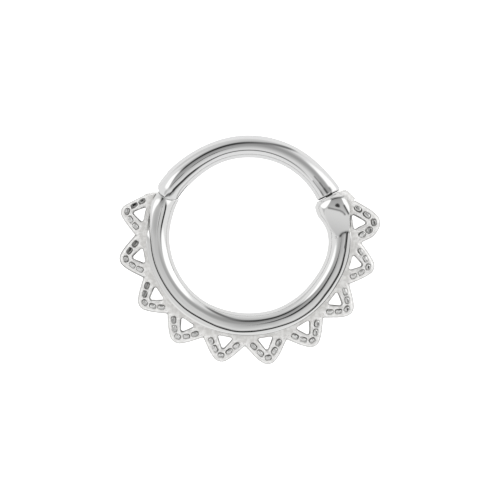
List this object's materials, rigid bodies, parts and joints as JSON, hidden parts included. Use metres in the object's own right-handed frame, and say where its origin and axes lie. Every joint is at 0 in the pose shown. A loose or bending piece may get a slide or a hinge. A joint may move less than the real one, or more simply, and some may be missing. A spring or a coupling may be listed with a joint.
{
  "type": "hinged nose ring",
  "caption": "Hinged segment ring for a piercing: a plain bar swings open on a pin, and a sunburst of pierced, beaded triangles runs round the fixed part.",
  "frame": {"origin": "centre of the opening, half way through the ring's thickness", "axes": "+Z along the ring's axis, up as it lies on its side, towards the beaded face; +Y through the middle of the plain bar; +X towards the clasp"},
  "size_m": [0.0139, 0.0123, 0.0018],
  "materials": {
    "cast_metal": "bright silver-coloured metal, polished on the tube, satin as cast between the beads",
    "polished_bar": "mirror polished silver-coloured metal"
  },
  "bodies": {
    "ring": {"ring_body": "cast_metal"},
    "bar": {"hinged_bar": "polished_bar", "hinge_pin": "polished_bar"}
  },
  "joints": [
    {"name": "bar_hinge", "type": "hinge", "parent": "ring", "child": "bar", "pos_m": [-0.00415, 0.00264, 0], "axis": [0, 0, 1], "range_deg": [0, 90]}
  ]
}
